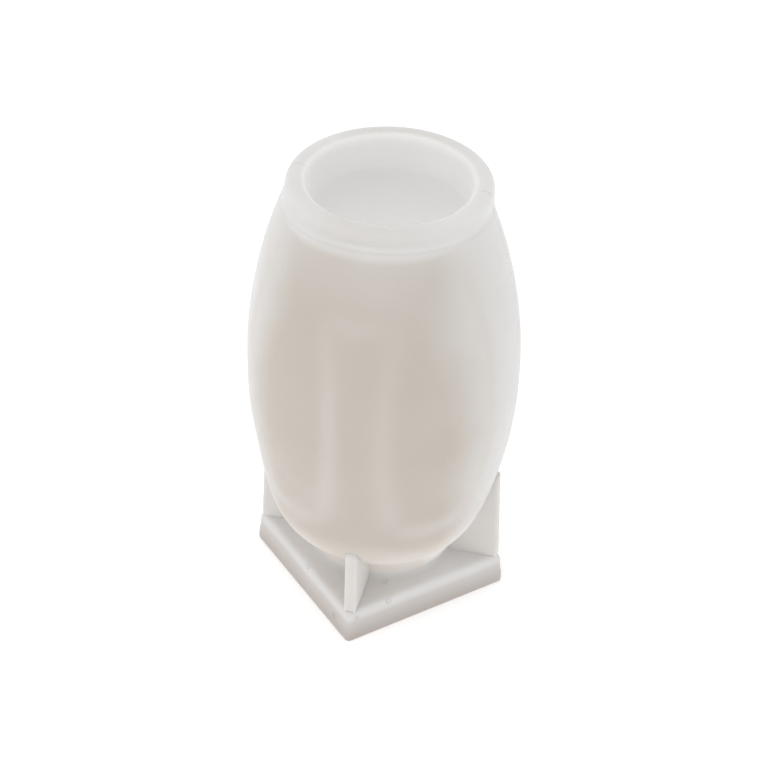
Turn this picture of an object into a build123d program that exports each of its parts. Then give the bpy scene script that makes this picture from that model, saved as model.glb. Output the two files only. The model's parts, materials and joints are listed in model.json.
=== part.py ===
"""Silicone casting mould for a face vase, made as two leaves that open like a book.

The mould stands mouth up.  +Z is up, -Y is the side that carries the face relief,
and the origin is on the floor below the middle of the base.  The leaves part on the
plane y = 0 and stay joined by a web of silicone, the skin of the belly at +X.
"""
import os
from math import cos, exp, pi, radians, sin, sqrt, tan

from build123d import *

os.makedirs("parts", exist_ok=True)

# Overall sizes, mm
rim_height = 141.2          # floor to the top of the rim
belly_radius = 40.0         # outside of the barrel at its widest
base_reach = 40.1           # middle of the base to its sharp corner, at the floor
base_thickness = 10.6

# Barrel, outside
foot_radius = 21.8          # where the barrel meets the base
belly_height = 80.0
neck_inset = 1.9            # collar's outside less the barrel's, carried up to the rim
foot_fullness = 2.3         # power of the curve from the belly down
neck_fullness = 2.0         # power of the curve from the belly up
neck_lead = 4.4             # how far the barrel's top stands forward of the rim
lead_fullness = 1.6
brow_swell = 3.2            # how far the forehead pushes the front out
brow_swell_height = 36.0
brow_swell_reach = 9.0      # height over which the swelling dies away
shoulder_drop = 5.6         # top of the rim down to the shoulder, on the parting plane
shoulder_slope = 5.5        # degrees, rising towards the face
shoulder_round = 1.0

# Collar round the mouth
rim_width = 6.0
collar_depth = 8.6
collar_top_round = 2.4
collar_foot_round = 1.0
mouth_radius = 23.3
mouth_draft = 4.0           # degrees
lip_round = 1.2

# Cavity, the outside shape of the casting
foot_wall = 4.2             # thickness of the wall at its foot
belly_wall = 4.0
neck_step = 1.3             # mouth's radius less the casting's neck
cavity_belly_height = 66.5
cavity_neck_drop = 9.4      # top of the rim down to the neck of the casting
cavity_foot_fullness = 1.8
cavity_neck_fullness = 1.95

# Face relief on the front leaf, upside down because the casting is poured so
relief_margin = 5.4         # cavity's widest radius less the relief's half width
relief_side_depth = 3.6
relief_brow_depth = 8.5
relief_chin_depth = 2.2
relief_widest_height = 71.5
brow_height = 33.0          # top of the base up to the ends of the brows
brow_rise = 3.8             # depth of each brow's arch
brow_end_inset = 5.8        # relief's half width less the brow's outer end
chin_drop = 10.2            # top of the rim down to the chin
jaw_drop = 24.0             # top of the rim down to the turn of the jaw
jaw_half_width = 20.2
nose_root_half_width = 5.2  # of the slot for the nose, where it would meet the belly's skin
nose_tip_half_width = 3.6
nose_flank = 20.0           # degrees, slope of the nose's sides
nose_tip_drop = 35.0        # top of the rim down to the tip of the nose

# Base plate
base_draft = 5.0            # degrees
base_corner_round = 1.2
base_edge_round = 1.6

# Buttress fins, towards the corners of the base
fin_thickness = 3.8
fin_corner_margin = 0.5     # top corner of the base to the foot of the fin
fin_height = 46.0           # where a fin's outer edge runs into the barrel
fin_bury = 12.0             # how far the edge is carried on inside the barrel

# Parting cut, and the web that it leaves in the skin of the belly
kerf = 0.2
web_radius = 1.2

# Levels and reaches that follow
sections = 11
ring_points = 12
collar_radius = mouth_radius + rim_width
neck_radius = collar_radius - neck_inset
cavity_floor_radius = foot_radius - foot_wall
cavity_belly_radius = belly_radius - belly_wall
cavity_neck_radius = mouth_radius - neck_step
shoulder_height = rim_height - shoulder_drop
collar_foot = rim_height - collar_depth
cavity_neck_height = rim_height - cavity_neck_drop
chin_height = rim_height - chin_drop
nose_tip_height = rim_height - nose_tip_drop
brow_end_height = base_thickness + brow_height
corner_loss = base_corner_round * (sqrt(2) - 1)
base_top_reach = base_reach - corner_loss - base_thickness * tan(radians(base_draft)) * sqrt(2)
fin_foot_reach = base_top_reach - fin_corner_margin
fin_foot = base_thickness - base_edge_round
web_x = belly_radius
fin_top = fin_height + fin_bury
relief_half_width = cavity_belly_radius - relief_margin
brow_end_x = relief_half_width - brow_end_inset


def bulge(z, low, belly, high, radii, fullness):
    """Radius at height z of a barrel that is widest at the belly."""
    if z < belly:
        share = (belly - z) / (belly - low)
        return radii[1] - (radii[1] - radii[0]) * share ** fullness[0]
    share = (z - belly) / (high - belly)
    return radii[1] - (radii[1] - radii[2]) * share ** fullness[1]


def barrel_size(z):
    """Outside radius of the barrel at height z."""
    radii = (foot_radius, belly_radius, neck_radius)
    return bulge(z, base_thickness, belly_height, rim_height, radii, (foot_fullness, neck_fullness))


def barrel_lead(z):
    """How far the barrel's middle stands towards the face at height z."""
    share = (z - base_thickness) / (rim_height - base_thickness)
    return neck_lead * share ** lead_fullness


def cavity_size(z):
    """Radius of the cavity at height z."""
    radii = (cavity_floor_radius, cavity_belly_radius, cavity_neck_radius)
    fullness = (cavity_foot_fullness, cavity_neck_fullness)
    return bulge(z, base_thickness, cavity_belly_height, cavity_neck_height, radii, fullness)


def cavity_lead(z):
    """The cavity leans with the barrel, and comes back under the mouth at its neck."""
    share = (z - base_thickness) / (cavity_neck_height - base_thickness)
    return barrel_lead(z) * (1 - share ** 4)


def relief_depth(z):
    """Depth of the relief on the middle line, deepest at the brows."""
    share = (z - base_thickness) / (cavity_neck_height - base_thickness)
    return relief_brow_depth + (relief_chin_depth - relief_brow_depth) * share


def forehead(z):
    """How far the front is pushed out at height z by the forehead of the casting."""
    return brow_swell * exp(-(((z - brow_swell_height) / brow_swell_reach) ** 2))


def outline(size, lead, front):
    """Closed curve of the open line builder: a circle, pushed out by so much at its front."""
    points = []
    for i in range(ring_points):
        turn = 2 * pi * i / ring_points
        reach = size + front * ((1 - sin(turn)) / 2) ** 3
        points.append((reach * cos(turn), reach * sin(turn) - lead))
    return Spline(*points, periodic=True)


def heights(low, high):
    """Evenly spaced section heights from low to high."""
    return [low + (high - low) * i / (sections - 1) for i in range(sections)]


fin_edge_slope = (barrel_size(fin_height) - fin_foot_reach) / (fin_height - base_thickness)
fin_top_reach = fin_foot_reach + fin_edge_slope * (fin_top - base_thickness)


# Solids that the nodes are cut from -------------------------------------------------

with BuildPart() as barrel:
    for z in heights(base_thickness, rim_height):
        with BuildSketch(Plane.XY.offset(z)):
            with BuildLine():
                outline(barrel_size(z), barrel_lead(z), forehead(z))
            make_face()
    loft()
    shoulder = Plane(origin=(0, 0, shoulder_height)).rotated((-shoulder_slope, 0, 0))
    split(bisect_by=shoulder, keep=Keep.BOTTOM)
    fillet(barrel.faces().sort_by(Axis.Z)[-1].edges(), shoulder_round)

with BuildPart() as cavity:
    for z in heights(base_thickness, cavity_neck_height):
        with BuildSketch(Plane.XY.offset(z)):
            with BuildLine():
                outline(cavity_size(z), cavity_lead(z), forehead(z))
            make_face()
    loft()

with BuildPart() as mouth:
    with BuildSketch(Plane.XY.offset(rim_height)):
        Circle(mouth_radius)
    extrude(amount=-cavity_neck_drop, taper=mouth_draft)

with BuildPart() as collar:
    with BuildSketch(Plane.XY.offset(collar_foot)):
        Circle(collar_radius)
    extrude(amount=collar_depth)
    fillet(collar.edges().sort_by(Axis.Z)[-1], collar_top_round)
    fillet(collar.edges().sort_by(Axis.Z)[0], collar_foot_round)

with BuildPart() as ring:
    add(collar.part)
    add(mouth.part, mode=Mode.SUBTRACT)
    add(cavity.part, mode=Mode.SUBTRACT)
    inner_lip = ring.faces().sort_by(Axis.Z)[-1].inner_wires()[0].edges()
    fillet(inner_lip, lip_round)

with BuildPart() as shell:
    add(barrel.part)
    add(collar.part, mode=Mode.SUBTRACT)
    add(mouth.part, mode=Mode.SUBTRACT)
    add(cavity.part, mode=Mode.SUBTRACT)

with BuildPart() as plate:
    with BuildSketch():
        square = Rectangle(base_reach * sqrt(2), base_reach * sqrt(2), rotation=45)
        fillet(square.vertices(), base_corner_round)
    extrude(amount=base_thickness, taper=base_draft)
    fillet(plate.faces().sort_by(Axis.Z)[-1].edges(), base_edge_round)

# What is left of the cavity behind the face of the casting
with BuildPart() as face:
    for z in heights(base_thickness, cavity_neck_height):
        front = forehead(z) + relief_side_depth - relief_depth(z)
        with BuildSketch(Plane.XY.offset(z)):
            with BuildLine():
                outline(cavity_size(z) - relief_side_depth, cavity_lead(z), front)
            make_face()
    loft()

# The slot that forms the nose widens inwards, so that the nose has sloping flanks
with BuildPart() as nose:
    with BuildSketch(Plane.XZ.offset(belly_radius)):
        with BuildLine():
            root = (nose_root_half_width, base_thickness)
            tip = (nose_tip_half_width, nose_tip_height)
            Polyline((0, base_thickness), root, tip, (0, nose_tip_height), close=True)
        make_face()
        mirror(about=Plane.YZ)
    extrude(amount=-belly_radius / 2, taper=-nose_flank)

# The relief is a pad inside the front wall, with the slot for the nose
with BuildPart() as relief:
    with BuildSketch(Plane.XZ):
        with BuildLine():
            chin = (0, chin_height)
            jaw = (jaw_half_width, rim_height - jaw_drop)
            cheek = (relief_half_width, relief_widest_height)
            brow_end = (brow_end_x, brow_end_height)
            side = Spline(chin, jaw, cheek, brow_end, tangents=[(1, 0), (-0.35, -1)])
            brow_top = ((brow_end_x + nose_root_half_width) / 2, brow_end_height - brow_rise)
            brow = ThreePointArc(brow_end, brow_top, (nose_root_half_width, brow_end_height))
            Polyline(brow @ 1, (0, brow_end_height), chin)
        make_face()
        mirror(about=Plane.YZ)
    extrude(amount=2 * belly_radius)
    add(cavity.part, mode=Mode.INTERSECT)
    add(face.part, mode=Mode.SUBTRACT)
    add(nose.part, mode=Mode.SUBTRACT)

with BuildPart() as web_bore:
    with Locations((web_x, 0)):
        Cylinder(web_radius + kerf / 2, rim_height, align=(Align.CENTER, Align.CENTER, Align.MIN))

with BuildPart() as web_core:
    with Locations((web_x, 0)):
        Cylinder(web_radius, rim_height, align=(Align.CENTER, Align.CENTER, Align.MIN))


# Nodes ------------------------------------------------------------------------------


def save(node, name):
    """Name a finished node and write its file."""
    node.part.label = name
    export_step(node.part, f"parts/{name}.step")


def keep_leaf(leaf):
    """Keep the part of the open builder that lies in one leaf, clear of the cut."""
    if leaf == "front":
        split(bisect_by=Plane.XZ.offset(kerf / 2), keep=Keep.TOP)
    else:
        split(bisect_by=Plane.XZ.offset(-kerf / 2), keep=Keep.BOTTOM)


web_gap = {"front": web_bore, "back": web_core}

for leaf in ("front", "back"):
    with BuildPart() as wall:
        add(shell.part)
        keep_leaf(leaf)
        add(web_gap[leaf].part, mode=Mode.SUBTRACT)
    save(wall, f"{leaf}_wall")

    with BuildPart() as collar_half:
        add(ring.part)
        keep_leaf(leaf)
    save(collar_half, f"{leaf}_collar")

    with BuildPart() as base_half:
        add(plate.part)
        keep_leaf(leaf)
    save(base_half, f"{leaf}_base")

with BuildPart() as hinge_web:
    add(web_core.part)
    add(barrel.part, mode=Mode.INTERSECT)
save(hinge_web, "hinge_web")

for corner, turn in (("right", 0), ("back", 90), ("left", 180), ("front", 270)):
    with BuildPart() as fin:
        with BuildSketch(Plane.XZ.rotated((0, 0, turn))):
            with BuildLine():
                Polyline(
                    (0, fin_foot),
                    (fin_foot_reach, fin_foot),
                    (fin_foot_reach, base_thickness),
                    (fin_top_reach, fin_top),
                    (0, fin_top),
                    close=True,
                )
            make_face()
        extrude(amount=fin_thickness / 2, both=True)
        add(plate.part, mode=Mode.SUBTRACT)
        add(barrel.part, mode=Mode.SUBTRACT)
        add(cavity.part, mode=Mode.SUBTRACT)
    if corner in ("front", "back"):
        save(fin, f"{corner}_fin")
    else:
        for leaf in ("front", "back"):
            with BuildPart() as flange:
                add(fin.part)
                keep_leaf(leaf)
            save(flange, f"{leaf}_{corner}_fin")

with BuildPart() as chin_relief:
    add(relief.part)
    split(bisect_by=Plane.XY.offset(nose_tip_height), keep=Keep.TOP)
save(chin_relief, "chin_relief")

for name, keep in (("left_cheek_relief", Keep.BOTTOM), ("right_cheek_relief", Keep.TOP)):
    with BuildPart() as cheek_relief:
        add(relief.part)
        split(bisect_by=Plane.XY.offset(nose_tip_height), keep=Keep.BOTTOM)
        split(bisect_by=Plane.YZ, keep=keep)
    save(cheek_relief, name)
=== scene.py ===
import json
import math

import bmesh
import bpy
import numpy as np
from bpy.props import FloatProperty, FloatVectorProperty, IntProperty, PointerProperty
from mathutils import Matrix, Vector
from mathutils.bvhtree import BVHTree

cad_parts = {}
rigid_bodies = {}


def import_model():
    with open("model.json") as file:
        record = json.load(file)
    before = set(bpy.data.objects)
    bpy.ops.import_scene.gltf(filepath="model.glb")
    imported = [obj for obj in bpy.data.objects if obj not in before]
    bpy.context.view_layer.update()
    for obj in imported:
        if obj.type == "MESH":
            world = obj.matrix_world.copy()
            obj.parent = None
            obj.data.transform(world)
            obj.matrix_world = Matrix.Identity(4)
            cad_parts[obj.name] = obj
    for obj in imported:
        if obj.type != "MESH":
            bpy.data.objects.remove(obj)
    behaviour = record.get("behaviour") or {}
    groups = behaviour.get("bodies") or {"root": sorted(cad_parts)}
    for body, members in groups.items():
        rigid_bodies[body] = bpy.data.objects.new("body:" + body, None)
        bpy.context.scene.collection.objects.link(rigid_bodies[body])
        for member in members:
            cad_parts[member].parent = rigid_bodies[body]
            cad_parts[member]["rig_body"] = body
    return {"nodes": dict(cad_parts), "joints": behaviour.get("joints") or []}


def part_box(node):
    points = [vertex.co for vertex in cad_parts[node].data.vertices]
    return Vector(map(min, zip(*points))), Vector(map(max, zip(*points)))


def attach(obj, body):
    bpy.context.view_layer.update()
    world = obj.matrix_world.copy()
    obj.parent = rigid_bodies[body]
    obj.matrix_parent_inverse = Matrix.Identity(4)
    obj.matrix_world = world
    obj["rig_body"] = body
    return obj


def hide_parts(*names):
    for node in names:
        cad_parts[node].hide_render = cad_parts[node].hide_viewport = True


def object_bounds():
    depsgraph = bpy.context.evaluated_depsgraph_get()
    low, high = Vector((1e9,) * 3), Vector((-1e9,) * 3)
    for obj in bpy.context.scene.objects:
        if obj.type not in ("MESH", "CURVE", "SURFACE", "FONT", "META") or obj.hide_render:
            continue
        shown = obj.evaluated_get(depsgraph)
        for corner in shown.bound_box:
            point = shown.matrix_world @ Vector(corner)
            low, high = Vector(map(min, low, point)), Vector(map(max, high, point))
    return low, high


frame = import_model()
cad_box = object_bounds()

bl_info = {
    "name": "Silicone face mould",
    "version": (1, 0, 0),
    "blender": (4, 5, 0),
    "location": "3D View > Sidebar > Mould",
    "description": "Poured silicone skin, marks and studio for a two-leaf casting mould",
    "category": "Object",
}

MM = 0.001
LEAVES = {"front": -1, "back": 1}
RELIEF = ("left_cheek_relief", "right_cheek_relief", "chin_relief")
POURED = (
    "front_wall", "back_wall", "hinge_web", *RELIEF, "front_collar", "back_collar", "front_base", "back_base")
HINGE = frame["joints"][0]

# How the pour is closed over the cut, as a share of its width, made soft, and parted again
MERGE = 1e-7
CLOSE_OVER_CUT = 0.6
GROOVE_PASSES = 8
INNER_DEPTH = 1.5 * MM
INNER_PASSES = 24
FOOT_ROUND = 1.2 * MM
SHOULDER_LIP = 0.6 * MM
SHARP_EDGE = math.radians(38)

# How the web and the fins join the pour, how pale their painted light is, and how lit they are
WEB_SEGMENTS = 48
WEB_BORDER = 0.2 * MM
WEB_PAINTED_LIGHT = 0.86
WEB_LIGHT = 0.24
FIN_GRAIN = 0.5 * MM
FIN_REACH = 0.9 * MM
FIN_ROOT = 1.2 * MM
FIN_SET_BACK = 0.03 * MM
FIN_PAINTED_LIGHT = 0.70
FIN_LIGHT = 0.28

# Painted light lines of the relief on the outside: how far rays look for it, and the step that counts as a
# full line
OUTER_SKIN = 1.0 * MM
RAY_START = 0.6 * MM
SIGHT_REACH = 16 * MM
FULL_STEP = 3 * MM
MARKS_ABOVE_BASE = 6 * MM
MARK_PASSES = 20
MARK_STRENGTH = 2.2
OUTSIDE = 200 * MM

# Radius within which the top of the base is the floor of the cavity
CAVITY_FLOOR = 18.5 * MM

# Painted light and shade, as shares from 0, the painted shade of the hollow, to 1, milky and fully lit
SIDE_PAINTED_LIGHT = 0.86
TOP_PAINTED_LIGHT = 0.32
FOOT_PAINTED_LIGHT = 0.25
COLLAR_PAINTED_LIGHT = 0.75
# Painted shade low on the base, and a painted highlight along its upper edge, kept off the top face
BASE_PAINTED_LIGHT = 0.45
BASE_EDGE_HIGHLIGHT = 0.40
BASE_TOP_DARKER = 0.15

# Light that comes through the silicone, as shares of the glow
WALL_LIGHT = 0.20
COLLAR_LIGHT = 0.08
FOOT_LIGHT = 0.75
INSIDE_LIGHT = 0.58
DEEP_LIGHT = 0.33
BASE_LIGHT = 0.24

# Grain of the material, in cycles per metre
CLOUD_SCALE = 38
WAVE_SCALE = 70
BUBBLE_SCALE = 120
RUB_SCALE = 240
FINE_SCALE = 900

# Studio, in metres
FLOOR_HALF = 3.0
FLOOR_GLOW = 0.2
KEY_PLACE = (-0.25, -0.6, 0.9)
KEY_SIZE = 0.9


# Settings --------------------------------------------------------------------------


class MouldSilicone(bpy.types.PropertyGroup):
    """Colour and finish of the silicone."""

    milk: FloatVectorProperty(
        name="Milky colour", description="Where the silicone is thick and lit from all sides",
        subtype="COLOR", default=(0.62, 0.615, 0.608), min=0, max=1)
    # Painted shade: the darker colour where the shade of the hollow shows through the thin wall
    hollow_shade: FloatVectorProperty(
        name="Warm colour", description="Where the wall is thin and the hollow shows through",
        subtype="COLOR", default=(0.46, 0.414, 0.368), min=0, max=1)
    # Painted light: the paler colour of the relief's steps, where they scatter light through the wall
    line: FloatVectorProperty(
        name="Relief line colour", description="Steps of the face relief, seen through the wall",
        subtype="COLOR", default=(0.55, 0.515, 0.485), min=0, max=1)
    # Painted shade: the darker colour low on the solid base
    thick: FloatVectorProperty(
        name="Thick colour", description="Low on the solid base, where light has the longest way to go",
        subtype="COLOR", default=(0.40, 0.358, 0.332), min=0, max=1)
    sheen: FloatProperty(name="Sheen", description="Pale bloom at grazing angles", default=0.15, min=0, max=1)
    glow: FloatProperty(
        name="Glow", description="Light that reaches a point through the silicone from its other side",
        default=0.50, min=0)
    roughness: FloatProperty(
        name="Roughness", description="Base roughness of the surface", default=0.42, min=0, max=1)
    scatter: FloatProperty(
        name="Scatter depth", description="How far light travels in the silicone",
        subtype="DISTANCE", unit="LENGTH", default=0.003, min=0)


class MouldShape(bpy.types.PropertyGroup):
    """Sizes that the pour adds to the frame."""

    grain: FloatProperty(
        name="Mesh size", description="Edge length of the poured skins",
        subtype="DISTANCE", unit="LENGTH", default=0.0007, min=0.0003)
    cut_width: FloatProperty(
        name="Cut width", description="Gap left by the parting cut",
        subtype="DISTANCE", unit="LENGTH", default=0.0002, min=0.00005)
    soften: IntProperty(name="Soften", description="Smoothing passes on each skin", default=3, min=0)
    shoulder_step: FloatProperty(
        name="Shoulder step", description="How far the fill in front of the collar stands out and down",
        subtype="DISTANCE", unit="LENGTH", default=0.002, min=0)
    sight: FloatVectorProperty(
        name="Mark lean", description="How far, sideways and down, marks on the inside show from their place",
        subtype="DIRECTION", default=(-0.16, 0.0, -0.48))


class MouldStudio(bpy.types.PropertyGroup):
    """Floor, light and camera."""

    floor: FloatVectorProperty(
        name="Floor colour", description="Plain sweep that the mould stands on",
        subtype="COLOR", default=(0.95, 0.95, 0.95), min=0, max=1)
    sky: FloatProperty(name="Sky strength", description="Even light from all round", default=0.95, min=0)
    key: FloatProperty(
        name="Key power", description="Large soft light at the front left", unit="POWER", default=1.6, min=0)
    azimuth: FloatProperty(
        name="Camera azimuth", description="Turn of the camera to the right of the front",
        subtype="ANGLE", unit="ROTATION", default=math.radians(12.8))
    elevation: FloatProperty(
        name="Camera elevation", description="Height of the camera above the horizon",
        subtype="ANGLE", unit="ROTATION", default=math.radians(37.4))
    roll: FloatProperty(
        name="Camera roll", description="Turn of the camera about its own line of sight",
        subtype="ANGLE", unit="ROTATION", default=math.radians(1.7))
    distance: FloatProperty(
        name="Camera distance", description="From the camera to the point it looks at",
        subtype="DISTANCE", unit="LENGTH", default=0.6444, min=0.05)
    target: FloatProperty(
        name="Target height", description="Height of the point that the camera looks at",
        subtype="DISTANCE", unit="LENGTH", default=0.069)
    lens: FloatProperty(
        name="Lens", description="Focal length", subtype="DISTANCE_CAMERA", default=101.7, min=1)


# Mesh helpers ----------------------------------------------------------------------


def leaf_of(node):
    """Which leaf a node belongs to, from the body that it rides on."""
    return "front" if frame["nodes"][node]["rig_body"] == HINGE["child"] else "back"


def body_of(leaf):
    """Body that a leaf's pieces ride on."""
    return HINGE["child"] if leaf == "front" else HINGE["parent"]


def closed_copy(nodes, fillers=()):
    """A bmesh of copies of the nodes, closed up over the cut, and of fillers: a node and its shift."""
    closing = bpy.context.scene.mould_shape.cut_width * CLOSE_OVER_CUT
    whole = bmesh.new()
    for node, shift in (*((node, (0, 0, 0)) for node in nodes), *fillers):
        part = bmesh.new()
        part.from_mesh(frame["nodes"][node].data)
        bmesh.ops.remove_doubles(part, verts=part.verts, dist=MERGE)
        bmesh.ops.translate(part, verts=part.verts, vec=(0, -LEAVES[leaf_of(node)] * closing, 0))
        bmesh.ops.translate(part, verts=part.verts, vec=shift)
        mesh = bpy.data.meshes.new("part")
        part.to_mesh(mesh)
        part.free()
        whole.from_mesh(mesh)
        bpy.data.meshes.remove(mesh)
    return whole


def evaluated(bm, add_modifiers):
    """The bmesh after modifiers, as a new bmesh."""
    mesh = bpy.data.meshes.new("work")
    bm.to_mesh(mesh)
    bm.free()
    obj = bpy.data.objects.new("work", mesh)
    bpy.context.scene.collection.objects.link(obj)
    add_modifiers(obj)
    shown = obj.evaluated_get(bpy.context.evaluated_depsgraph_get())
    result = bmesh.new()
    final = bpy.data.meshes.new_from_object(shown)
    result.from_mesh(final)
    bpy.data.objects.remove(obj)
    bpy.data.meshes.remove(mesh)
    bpy.data.meshes.remove(final)
    return result


def soften(bm, verts, passes):
    """Even out some of the verts, a few times over."""
    for _ in range(passes):
        bmesh.ops.smooth_vert(bm, verts=verts, factor=0.5, use_axis_x=True, use_axis_y=True, use_axis_z=True)


def poured(nodes, grain=None, fillers=()):
    """One soft skin over the nodes, as one pour of silicone would leave it."""
    shape = bpy.context.scene.mould_shape
    grain = grain or shape.grain

    def remesh(obj):
        modifier = obj.modifiers.new("skin", "REMESH")
        modifier.mode = "VOXEL"
        modifier.voxel_size = grain

    skin = evaluated(closed_copy(nodes, fillers), remesh)
    soften(skin, skin.verts, shape.soften)
    return skin


def cut_away(bm, point, normal):
    """Cut off what lies on the side that the normal points to, and close the cut."""
    geometry = bm.verts[:] + bm.edges[:] + bm.faces[:]
    bmesh.ops.bisect_plane(bm, geom=geometry, dist=MERGE, plane_co=point, plane_no=normal, clear_outer=True)
    rim = [edge for edge in bm.edges if edge.is_boundary]
    bmesh.ops.holes_fill(bm, edges=rim, sides=0)


def web_radius():
    """Radius of the round web that the leaves hinge on."""
    low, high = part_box("hinge_web")
    return (high.y - low.y) / 2


def with_web(bm, operation, gap=0.0):
    """The bmesh cut by, or cut down to, the round web."""
    low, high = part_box("hinge_web")
    radius = web_radius() + gap
    rod = bmesh.new()
    bmesh.ops.create_cone(
        rod, cap_ends=True, segments=WEB_SEGMENTS, radius1=radius, radius2=radius,
        depth=(high.z - low.z) * 1.5)
    bmesh.ops.translate(rod, verts=rod.verts, vec=Vector(HINGE["pos_m"]))
    mesh = bpy.data.meshes.new("rod")
    rod.to_mesh(mesh)
    rod.free()
    cutter = bpy.data.objects.new("rod", mesh)
    bpy.context.scene.collection.objects.link(cutter)

    def boolean(obj):
        modifier = obj.modifiers.new("web", "BOOLEAN")
        modifier.operation = operation
        modifier.object = cutter
        modifier.solver = "EXACT"

    result = evaluated(bm, boolean)
    bpy.data.objects.remove(cutter)
    bpy.data.meshes.remove(mesh)
    return result


def groove_filled(bm, height, reach, passes):
    """Smooth the band round one height, as liquid silicone fills a corner."""
    soften(bm, [vert for vert in bm.verts if abs(vert.co.z - height) < reach], passes)


def the_pour():
    """A bmesh of the walls, collar and base as they come out of the pour, with their painted light, shade and
    relief lines; made once.
    """
    if "pour" not in bpy.data.meshes:
        steps = [share * bpy.context.scene.mould_shape.shoulder_step for share in (0.5, 1.0)]
        skin = poured(POURED, fillers=[("front_collar", (0, -step, -step)) for step in steps])
        low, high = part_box("front_collar")
        groove_filled(skin, low.z, (high.z - low.z) / 2, GROOVE_PASSES)
        skin.verts.index_update()
        depth = wall_depth(skin.verts, BVHTree.FromBMesh(skin))
        soften(skin, [vert for vert in skin.verts if depth[vert.index] > INNER_DEPTH], INNER_PASSES)
        mesh = bpy.data.meshes.new("pour")
        skin.to_mesh(mesh)
        skin.free()
        tree = BVHTree.FromPolygons([v.co[:] for v in mesh.vertices], [p.vertices[:] for p in mesh.polygons])
        paint_relief_light(mesh, tree, depth)
        paint_wall_light(mesh, depth)
    skin = bmesh.new()
    skin.from_mesh(bpy.data.meshes["pour"])
    return skin


def rooted(bm, tree):
    """Push the verts that touch the pour into it, so that a fin grows out of the barrel and the base."""
    for vert in bm.verts:
        place, normal, _, _ = tree.find_nearest(vert.co, FIN_REACH)
        if place is not None:
            vert.co = place - normal * FIN_ROOT
    return bm


def leaf_half(bm, leaf, set_back=0.0):
    """A copy of the bmesh that keeps one leaf's side of the cut, set back a little if need be."""
    half = bm.copy()
    side = LEAVES[leaf]
    gap = bpy.context.scene.mould_shape.cut_width / 2 + set_back
    cut_away(half, (0, side * gap, 0), (0, -side, 0))
    return half


def finish_piece(bm, name, leaf, nodes, material):
    """Turn a bmesh into a named piece that rides on its leaf's body."""
    for face in bm.faces:
        face.smooth = True
    for edge in bm.edges:
        if len(edge.link_faces) == 2 and edge.calc_face_angle(0) > SHARP_EDGE:
            edge.smooth = False
    mesh = bpy.data.meshes.new(name)
    bm.to_mesh(mesh)
    bm.free()
    mesh.materials.append(material)
    piece = bpy.data.objects.new(name, mesh)
    bpy.context.scene.collection.objects.link(piece)
    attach(piece, body_of(leaf))
    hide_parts(*nodes)
    return piece


def edge_pairs(mesh):
    """Vertex numbers at the two ends of every edge."""
    pairs = np.empty(len(mesh.edges) * 2, np.int64)
    mesh.edges.foreach_get("vertices", pairs)
    return pairs.reshape(-1, 2)


def spread(values, pairs, passes):
    """Average each vertex value with its neighbours, several times."""
    count = np.bincount(pairs.ravel(), minlength=len(values)) + 1.0
    for _ in range(passes):
        total = values.copy()
        np.add.at(total, pairs[:, 0], values[pairs[:, 1]])
        np.add.at(total, pairs[:, 1], values[pairs[:, 0]])
        values = total / count
    return values


def store(mesh, name, values):
    """Write one number per vertex to a named attribute."""
    attribute = mesh.attributes.get(name) or mesh.attributes.new(name, "FLOAT", "POINT")
    attribute.data.foreach_set("value", values.astype(np.float32))


def smooth_step(values, low, high):
    """0 below low, 1 above high, and an even curve between."""
    share = np.clip((values - low) / (high - low), 0.0, 1.0)
    return share * share * (3 - 2 * share)


def places(mesh):
    """Vertex positions as an array."""
    co = np.empty(len(mesh.vertices) * 3)
    mesh.vertices.foreach_get("co", co)
    return co.reshape(-1, 3)


def wall_depth(vertices, tree):
    """How far each vertex lies in from the outside of the barrel, level with it."""
    depth = np.zeros(len(vertices))
    for vertex in vertices:
        level = Vector((0, 0, vertex.co.z))
        out = (vertex.co - level).normalized()
        hit = tree.ray_cast(level + out * OUTSIDE, -out)
        if hit[0] is not None:
            depth[vertex.index] = (hit[0] - level).length - (vertex.co - level).length
    return depth


def paint_relief_light(mesh, tree, depth):
    """Store painted light lines where the wall's thickness steps behind each point: the relief, seen through
    it by the light it scatters.
    """
    lean = Vector(bpy.context.scene.mould_shape.sight)
    thickness = np.empty(len(mesh.vertices))
    for vertex in mesh.vertices:
        inward = (lean - vertex.normal).normalized()
        hit = tree.ray_cast(vertex.co + inward * RAY_START, inward, SIGHT_REACH)
        thickness[vertex.index] = SIGHT_REACH if hit[0] is None else hit[3]
    pairs = edge_pairs(mesh)
    step = np.abs(thickness[pairs[:, 0]] - thickness[pairs[:, 1]])
    line = np.zeros(len(thickness))
    np.maximum.at(line, pairs[:, 0], step)
    np.maximum.at(line, pairs[:, 1], step)
    level = places(mesh)[:, 2]
    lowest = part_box("front_base")[1].z + MARKS_ABOVE_BASE
    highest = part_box("chin_relief")[1].z
    within = (depth < OUTER_SKIN) * (level > lowest) * (level < highest)
    line = np.minimum(line / FULL_STEP, 1.0) * within
    store(mesh, "painted_relief_light", np.minimum(spread(line, pairs, MARK_PASSES) * MARK_STRENGTH, 1.0))


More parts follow.
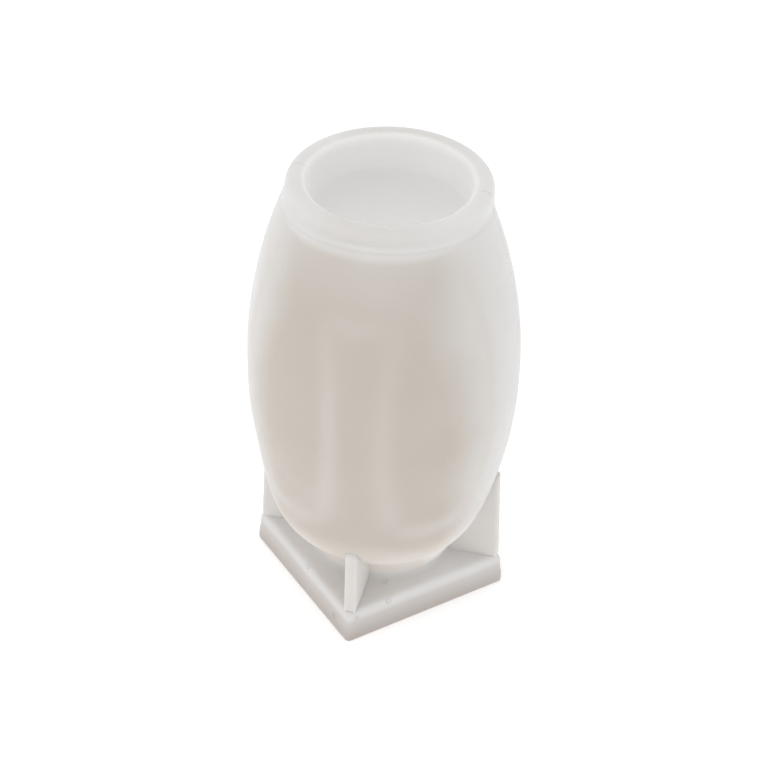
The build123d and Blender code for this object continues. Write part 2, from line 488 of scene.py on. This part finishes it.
def paint_wall_light(mesh, depth):
    """Store each point's painted light and shade, as a share from shade to milky, and how much light reaches
    it through the silicone.

    Levels are shares of the whole height; around is 0 at the front and back, and 1 at the cut.
    """
    co = places(mesh)
    low, high = cad_box[0].z, cad_box[1].z
    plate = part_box("front_base")[1].z
    around = np.abs(co[:, 0]) / np.maximum(np.hypot(co[:, 0], co[:, 1]), 1e-6)
    level = (co[:, 2] - low) / (high - low)
    # Painted light: paler towards the sides, darker at the front and back where the hollow's shade shows
    # through; paler too at the top, the foot, the rim and inside
    sides = SIDE_PAINTED_LIGHT * smooth_step(around, 0.60 - 0.28 * smooth_step(level, 0.60, 0.90), 0.98)
    top = TOP_PAINTED_LIGHT * smooth_step(level, 0.80, 0.97)
    foot = FOOT_PAINTED_LIGHT * (1 - smooth_step(level, 0.10, 0.30))
    inside = smooth_step(depth, 1.2 * MM, 3.5 * MM) * (co[:, 2] > plate)
    collar = smooth_step(co[:, 2], high - 9 * MM, high - 4 * MM)
    floor = (np.hypot(co[:, 0], co[:, 1]) < CAVITY_FLOOR) * (co[:, 2] > plate / 2)
    in_base = np.where(floor, 0.0, 1 - smooth_step(co[:, 2], plate, plate + 4 * MM))
    inside = np.maximum(inside, floor)
    rim = collar * (COLLAR_PAINTED_LIGHT + (1 - COLLAR_PAINTED_LIGHT) * sides)
    barrel = np.maximum.reduce([sides, top + foot, inside, rim])
    # Painted shade low on the base, and a painted highlight along its upper edge, taken off the top face
    edge = smooth_step(co[:, 2], plate - 4.5 * MM, plate - 2 * MM)
    top_face = smooth_step(co[:, 2], plate - 0.8 * MM, plate - 0.2 * MM)
    base = BASE_PAINTED_LIGHT * smooth_step(co[:, 2], low, plate - 3 * MM) + BASE_EDGE_HIGHLIGHT * edge
    base = base - BASE_TOP_DARKER * top_face
    store(mesh, "painted_lightness", np.clip(barrel * (1 - in_base) + base * in_base, 0.0, 1.0))
    deep = 1 - smooth_step(co[:, 2], high - 40 * MM, high - 9 * MM)
    low_barrel = 1 - smooth_step(co[:, 2], plate + 10 * MM, plate + 30 * MM)
    through = WALL_LIGHT + COLLAR_LIGHT * collar + FOOT_LIGHT * low_barrel
    through = through * (1 - inside) + inside * (INSIDE_LIGHT + DEEP_LIGHT * deep)
    store(mesh, "light_through", np.clip(through * (1 - in_base) + BASE_LIGHT * in_base, 0.0, 1.0))


# Material --------------------------------------------------------------------------


def node_group(name, inputs, outputs):
    """A shader node group with its sockets, and its two end nodes."""
    group = bpy.data.node_groups.new(name, "ShaderNodeTree")
    for label, kind, value in inputs:
        socket = group.interface.new_socket(label, in_out="INPUT", socket_type=kind)
        socket.default_value = value
    for label, kind in outputs:
        group.interface.new_socket(label, in_out="OUTPUT", socket_type=kind)
    return group, group.nodes.new("NodeGroupInput"), group.nodes.new("NodeGroupOutput")


def noise(tree, scale, detail, coordinates):
    """A noise texture on object coordinates, in cycles per metre."""
    texture = tree.nodes.new("ShaderNodeTexNoise")
    texture.inputs["Scale"].default_value = scale
    texture.inputs["Detail"].default_value = detail
    tree.links.new(coordinates, texture.inputs["Vector"])
    return texture.outputs["Fac"]


def mapped(tree, value, low, high, to_low=0.0, to_high=1.0):
    """Map a value from one range to another, clamped."""
    node = tree.nodes.new("ShaderNodeMapRange")
    node.inputs["From Min"].default_value = low
    node.inputs["From Max"].default_value = high
    node.inputs["To Min"].default_value = to_low
    node.inputs["To Max"].default_value = to_high
    tree.links.new(value, node.inputs["Value"])
    return node.outputs["Result"]


def blend_colours(tree, factor, first, second):
    """Mix of two colour sockets."""
    node = tree.nodes.new("ShaderNodeMix")
    node.data_type = "RGBA"
    tree.links.new(factor, node.inputs[0])
    tree.links.new(first, node.inputs[6])
    tree.links.new(second, node.inputs[7])
    return node.outputs[2]


def silicone_surface():
    """Colour with painted light and shade, painted glow, roughness and normal of cured silicone."""
    group, start, end = node_group(
        "Cured silicone",
        [("Milk", "NodeSocketColor", (0.8, 0.78, 0.76, 1)), ("Shade", "NodeSocketColor", (0.7, 0.63, 0.58, 1)),
         ("Line", "NodeSocketColor", (0.8, 0.76, 0.73, 1)), ("Roughness", "NodeSocketFloat", 0.42),
         ("Bubbles", "NodeSocketFloat", 0.2)],
        [("Color", "NodeSocketColor"), ("Glow", "NodeSocketColor"), ("Roughness", "NodeSocketFloat"),
         ("Normal", "NodeSocketVector")])
    links = group.links
    place = group.nodes.new("ShaderNodeTexCoord").outputs["Object"]
    # Share of painted light and shade, from the painted shade colour to milk
    milk = group.nodes.new("ShaderNodeAttribute")
    milk.attribute_name = "painted_lightness"
    line = group.nodes.new("ShaderNodeAttribute")
    line.attribute_name = "painted_relief_light"
    cloud = mapped(group, noise(group, CLOUD_SCALE, 3, place), 0.3, 0.7, -0.10, 0.10)
    painted_lightness = group.nodes.new("ShaderNodeMath")
    painted_lightness.operation = "ADD"
    painted_lightness.use_clamp = True
    links.new(milk.outputs["Fac"], painted_lightness.inputs[0])
    links.new(cloud, painted_lightness.inputs[1])
    body = blend_colours(group, painted_lightness.outputs[0], start.outputs["Shade"], start.outputs["Milk"])
    # Painted light lines where the relief's steps scatter light through the wall
    lined = blend_colours(group, line.outputs["Fac"], body, start.outputs["Line"])
    links.new(lined, end.inputs["Color"])
    through = group.nodes.new("ShaderNodeAttribute")
    through.attribute_name = "light_through"
    dark = group.nodes.new("ShaderNodeRGB")
    dark.outputs[0].default_value = (0, 0, 0, 1)
    links.new(blend_colours(group, through.outputs["Fac"], dark.outputs[0], lined), end.inputs["Glow"])
    rub = mapped(group, noise(group, RUB_SCALE, 4, place), 0.3, 0.7, -0.07, 0.07)
    rough = group.nodes.new("ShaderNodeMath")
    links.new(start.outputs["Roughness"], rough.inputs[0])
    links.new(rub, rough.inputs[1])
    links.new(rough.outputs[0], end.inputs["Roughness"])
    fine = group.nodes.new("ShaderNodeBump")
    fine.inputs["Strength"].default_value = 0.12
    fine.inputs["Distance"].default_value = 0.2 * MM
    links.new(noise(group, FINE_SCALE, 3, place), fine.inputs["Height"])
    wave = group.nodes.new("ShaderNodeBump")
    wave.inputs["Strength"].default_value = 0.25
    wave.inputs["Distance"].default_value = 0.8 * MM
    links.new(noise(group, WAVE_SCALE, 2, place), wave.inputs["Height"])
    links.new(fine.outputs["Normal"], wave.inputs["Normal"])
    cells = group.nodes.new("ShaderNodeTexVoronoi")
    cells.inputs["Scale"].default_value = BUBBLE_SCALE
    links.new(place, cells.inputs["Vector"])
    pit = group.nodes.new("ShaderNodeBump")
    pit.inputs["Distance"].default_value = 0.6 * MM
    links.new(start.outputs["Bubbles"], pit.inputs["Strength"])
    links.new(mapped(group, cells.outputs["Distance"], 0.07, 0.12), pit.inputs["Height"])
    links.new(wave.outputs["Normal"], pit.inputs["Normal"])
    links.new(pit.outputs["Normal"], end.inputs["Normal"])
    return group


def silicone(thick=False):
    """Silicone of the thin walls, or its darker copy with painted shade for the thick base; each made once.
    """
    name = "Shaded thick silicone" if thick else "Milky silicone"
    if name in bpy.data.materials:
        return bpy.data.materials[name]
    settings = bpy.context.scene.mould_silicone
    material = bpy.data.materials.new(name)
    material.use_nodes = True
    tree = material.node_tree
    shader = tree.nodes["Principled BSDF"]
    surface = tree.nodes.new("ShaderNodeGroup")
    surface.node_tree = silicone_surface()
    surface.inputs["Milk"].default_value = (*settings.milk, 1)
    # Painted shade colour: the hollow's shade on the walls, or the darker shade low on the thick base
    surface.inputs["Shade"].default_value = (*(settings.thick if thick else settings.hollow_shade), 1)
    surface.inputs["Line"].default_value = (*settings.line, 1)
    surface.inputs["Roughness"].default_value = settings.roughness
    surface.inputs["Bubbles"].default_value = 0.8 if thick else 0.15
    tree.links.new(surface.outputs["Color"], shader.inputs["Base Color"])
    tree.links.new(surface.outputs["Roughness"], shader.inputs["Roughness"])
    tree.links.new(surface.outputs["Normal"], shader.inputs["Normal"])
    # Painted glow: the emission stands in for light that comes through the silicone
    tree.links.new(surface.outputs["Glow"], shader.inputs["Emission Color"])
    shader.inputs["Emission Strength"].default_value = settings.glow
    shader.inputs["IOR"].default_value = 1.41
    shader.inputs["Subsurface Weight"].default_value = 0.35
    shader.inputs["Subsurface Radius"].default_value = (1.0, 0.9, 0.82)
    shader.inputs["Subsurface Scale"].default_value = settings.scatter
    shader.inputs["Sheen Weight"].default_value = settings.sheen
    shader.inputs["Sheen Roughness"].default_value = 0.45
    return material


# Pieces ----------------------------------------------------------------------------


def foot_level():
    """Height where the walls part from the base, just above the round in the corner."""
    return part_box("front_base")[1].z + FOOT_ROUND


def shoulder_cut():
    """A point on the sloping plane where the collar parts from the walls, and its normal, upwards."""
    low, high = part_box("front_wall")
    front = Vector((0, low.y, high.z - SHOULDER_LIP))
    back = Vector((0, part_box("back_collar")[1].y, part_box("back_collar")[0].z - SHOULDER_LIP))
    slope = back - front
    return front, Vector((0, -slope.z, slope.y)).normalized()


def even_painted_light(piece, milk, light):
    """Give a whole piece one share of painted light, and one share of the light that comes through."""
    count = len(piece.data.vertices)
    store(piece.data, "painted_lightness", np.full(count, milk))
    store(piece.data, "light_through", np.full(count, light))


def even_round_web(piece):
    """Give the cut round the web the same painted light as the skin beside it."""
    mesh = piece.data
    co = places(mesh)
    away = np.hypot(co[:, 0] - HINGE["pos_m"][0], co[:, 1] - HINGE["pos_m"][1])
    near = away < web_radius() + WEB_BORDER
    for name, value in (("painted_lightness", WEB_PAINTED_LIGHT), ("light_through", WEB_LIGHT)):
        found = np.empty(len(co), np.float32)
        mesh.attributes[name].data.foreach_get("value", found)
        store(mesh, name, np.where(near, value, found))


class MOULD_OT_walls(bpy.types.Operator):
    """Pour the two half barrels, the front one with the face relief inside"""

    bl_idname = "mould.walls"
    bl_label = "Barrel walls"

    def execute(self, context):
        barrel = the_pour()
        shoulder, upward = shoulder_cut()
        web = with_web(barrel.copy(), "INTERSECT")
        piece = finish_piece(web, "hinge_web_skin", "back", ["hinge_web"], silicone())
        even_painted_light(piece, WEB_PAINTED_LIGHT, WEB_LIGHT)
        gap = context.scene.mould_shape.cut_width / 2
        for leaf in LEAVES:
            nodes = ["front_wall", *RELIEF] if leaf == "front" else ["back_wall"]
            half = leaf_half(barrel, leaf)
            cut_away(half, (0, 0, foot_level()), (0, 0, -1))
            cut_away(half, shoulder, upward)
            half = with_web(half, "DIFFERENCE", gap if leaf == "front" else 0.0)
            even_round_web(finish_piece(half, f"{leaf}_wall_skin", leaf, nodes, silicone()))
        barrel.free()
        return {"FINISHED"}


class MOULD_OT_collar(bpy.types.Operator):
    """Pour the two halves of the collar round the mouth"""

    bl_idname = "mould.collar"
    bl_label = "Collar"

    def execute(self, context):
        ring = the_pour()
        shoulder, upward = shoulder_cut()
        for leaf in LEAVES:
            half = leaf_half(ring, leaf)
            cut_away(half, shoulder, -upward)
            finish_piece(half, f"{leaf}_collar_skin", leaf, [f"{leaf}_collar"], silicone())
        ring.free()
        return {"FINISHED"}


class MOULD_OT_base(bpy.types.Operator):
    """Pour the base plate, cut through like the walls"""

    bl_idname = "mould.base"
    bl_label = "Base plate"

    def execute(self, context):
        plate = the_pour()
        for leaf in LEAVES:
            half = leaf_half(plate, leaf)
            cut_away(half, (0, 0, foot_level()), (0, 0, 1))
            # The darker copy of the silicone, with painted shade
            finish_piece(half, f"{leaf}_base_skin", leaf, [f"{leaf}_base"], silicone(thick=True))
        plate.free()
        return {"FINISHED"}


class MOULD_OT_fins(bpy.types.Operator):
    """Pour the four buttress fins; the side ones are cut down their middle"""

    bl_idname = "mould.fins"
    bl_label = "Buttress fins"

    def execute(self, context):
        pour = the_pour()
        tree = BVHTree.FromBMesh(pour)
        pour.free()
        for leaf in LEAVES:
            node = f"{leaf}_fin"
            fin = rooted(poured([node], FIN_GRAIN), tree)
            piece = finish_piece(fin, f"{node}_skin", leaf, [node], silicone())
            even_painted_light(piece, FIN_PAINTED_LIGHT, FIN_LIGHT)
        for side in ("left", "right"):
            fin = rooted(poured([f"front_{side}_fin", f"back_{side}_fin"], FIN_GRAIN), tree)
            for leaf in LEAVES:
                node = f"{leaf}_{side}_fin"
                half = leaf_half(fin, leaf, FIN_SET_BACK)
                piece = finish_piece(half, f"{node}_skin", leaf, [node], silicone())
                even_painted_light(piece, FIN_PAINTED_LIGHT, FIN_LIGHT)
            fin.free()
        return {"FINISHED"}


class MOULD_OT_stage(bpy.types.Operator):
    """Lay the floor, set the even sky and the soft key light, and aim the camera"""

    bl_idname = "mould.stage"
    bl_label = "Studio"

    def execute(self, context):
        studio = context.scene.mould_studio
        self.lay_floor(context.scene, studio.floor)
        self.set_sky(context.scene, studio.sky)
        self.hang_key(context.scene, studio.key)
        self.set_camera(context.scene, studio)
        return {"FINISHED"}

    def lay_floor(self, scene, colour):
        """A plain matt sweep under the mould."""
        floor_mesh = bpy.data.meshes.new("floor")
        bm = bmesh.new()
        bmesh.ops.create_grid(bm, x_segments=1, y_segments=1, size=FLOOR_HALF)
        bm.to_mesh(floor_mesh)
        bm.free()
        floor = bpy.data.objects.new("floor", floor_mesh)
        scene.collection.objects.link(floor)
        material = bpy.data.materials.new("Floor")
        material.use_nodes = True
        shader = material.node_tree.nodes["Principled BSDF"]
        shader.inputs["Base Color"].default_value = (*colour, 1)
        shader.inputs["Roughness"].default_value = 0.9
        shader.inputs["Emission Color"].default_value = (1, 1, 1, 1)
        shader.inputs["Emission Strength"].default_value = FLOOR_GLOW
        floor_mesh.materials.append(material)

    def set_sky(self, scene, strength):
        """Even white light from all round."""
        world = bpy.data.worlds.new("Studio")
        world.use_nodes = True
        background = world.node_tree.nodes["Background"]
        background.inputs["Color"].default_value = (1, 1, 1, 1)
        background.inputs["Strength"].default_value = strength
        scene.world = world
        scene.view_settings.view_transform = "Standard"

    def hang_key(self, scene, power):
        """A large square light that looks at the middle of the mould."""
        data = bpy.data.lights.new("key", "AREA")
        data.size = KEY_SIZE
        data.energy = power
        lamp = bpy.data.objects.new("key", data)
        scene.collection.objects.link(lamp)
        lamp.location = KEY_PLACE
        middle = (cad_box[0] + cad_box[1]) / 2
        lamp.rotation_euler = (middle - Vector(KEY_PLACE)).to_track_quat("-Z", "Y").to_euler()

    def set_camera(self, scene, studio):
        """The camera, in front of the mould and a little to its right, looking down."""
        data = bpy.data.cameras.new("camera")
        data.lens = studio.lens
        data.sensor_width = 36
        data.clip_start = 0.01
        camera = bpy.data.objects.new("camera", data)
        scene.collection.objects.link(camera)
        turn, height = studio.azimuth, studio.elevation
        level = math.cos(height)
        back = Vector((math.sin(turn) * level, -math.cos(turn) * level, math.sin(height)))
        camera.location = Vector((0, 0, studio.target)) + back * studio.distance
        aim = (-back).to_track_quat("-Z", "Y").to_matrix().to_4x4()
        camera.rotation_euler = (aim @ Matrix.Rotation(studio.roll, 4, "Z")).to_euler()
        scene.camera = camera


STEPS = (MOULD_OT_walls, MOULD_OT_collar, MOULD_OT_base, MOULD_OT_fins, MOULD_OT_stage)


class MOULD_PT_panel(bpy.types.Panel):
    """Lists the steps that build the mould"""

    bl_idname = "MOULD_PT_panel"
    bl_label = "Silicone mould"
    bl_space_type = "VIEW_3D"
    bl_region_type = "UI"
    bl_category = "Mould"

    def draw(self, context):
        for step in STEPS:
            self.layout.operator(step.bl_idname)
        for group in (context.scene.mould_silicone, context.scene.mould_shape, context.scene.mould_studio):
            for name in group.bl_rna.properties.keys():
                if name not in ("rna_type", "name"):
                    self.layout.prop(group, name)


GROUPS = {"mould_silicone": MouldSilicone, "mould_shape": MouldShape, "mould_studio": MouldStudio}


def register():
    """Register every class, and hang the settings on the scene."""
    for cls in (*GROUPS.values(), *STEPS, MOULD_PT_panel):
        bpy.utils.register_class(cls)
    for name, cls in GROUPS.items():
        setattr(bpy.types.Scene, name, PointerProperty(type=cls))


def unregister():
    """Take the settings and classes away again."""
    for name in GROUPS:
        delattr(bpy.types.Scene, name)
    for cls in (MOULD_PT_panel, *reversed(STEPS), *reversed(GROUPS.values())):
        bpy.utils.unregister_class(cls)


def main():
    """Build the mould and its studio."""
    register()
    for step in STEPS:
        group, operator = step.bl_idname.split(".")
        getattr(getattr(bpy.ops, group), operator)()


if __name__ == "__main__":
    main()
